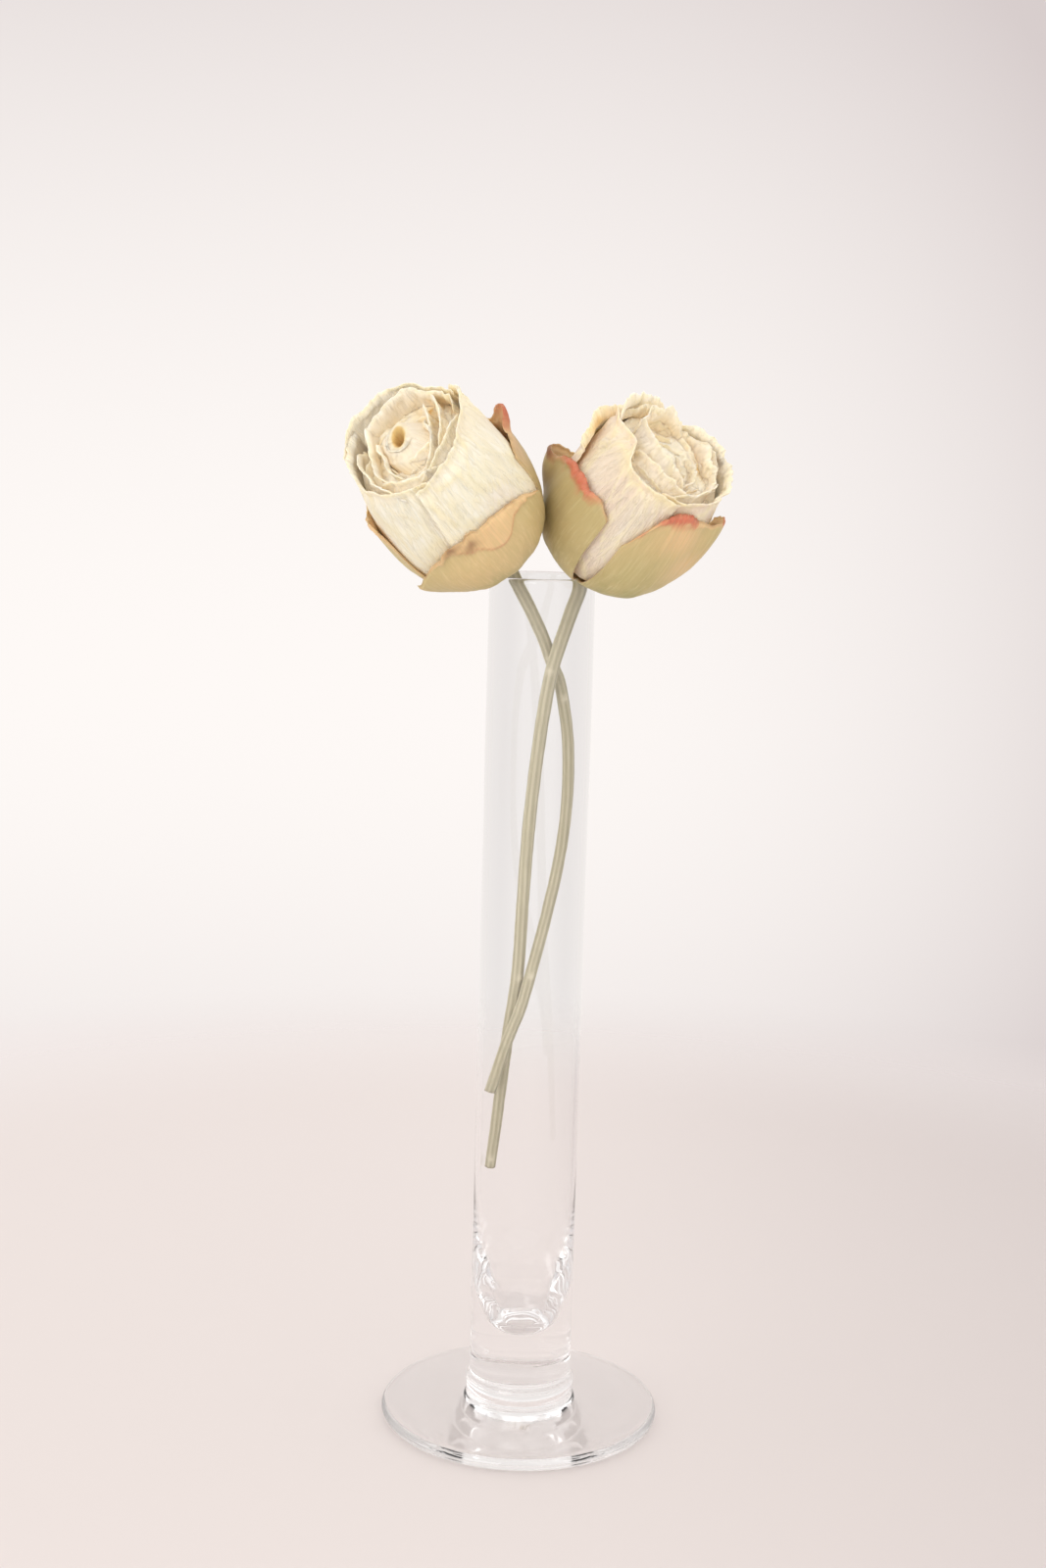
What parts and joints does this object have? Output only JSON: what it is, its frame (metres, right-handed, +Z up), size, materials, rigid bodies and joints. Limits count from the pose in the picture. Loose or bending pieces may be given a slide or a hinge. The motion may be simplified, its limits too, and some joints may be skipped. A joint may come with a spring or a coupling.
{
  "type": "dried roses in vase",
  "caption": "Dried roses with cream petals and green guard petals, standing in a tall footed clear glass bud vase.",
  "frame": {"origin": "middle of the vase's flat underside, on the surface it stands on", "axes": "+Z up along the vase's tube; -Y is the front, where both heads nod; +X is to the viewer's right"},
  "size_m": [0.1008, 0.1024, 0.3022],
  "materials": {
    "clear_glass": "clear polished drawn and pressed glass",
    "dried_stem": "dry ridged grey-green plant stem, matte",
    "guard_petal": "dried olive-yellow petal, satin, with peach and coral edges",
    "cream_petal": "dried cream petal, matte, finely creased"
  },
  "bodies": {
    "root": {"vase": "clear_glass", "left_stem": "dried_stem", "left_guard_petals": "guard_petal", "left_bloom": "cream_petal", "right_stem": "dried_stem", "right_guard_petals": "guard_petal", "right_bloom": "cream_petal"}
  },
  "joints": []
}
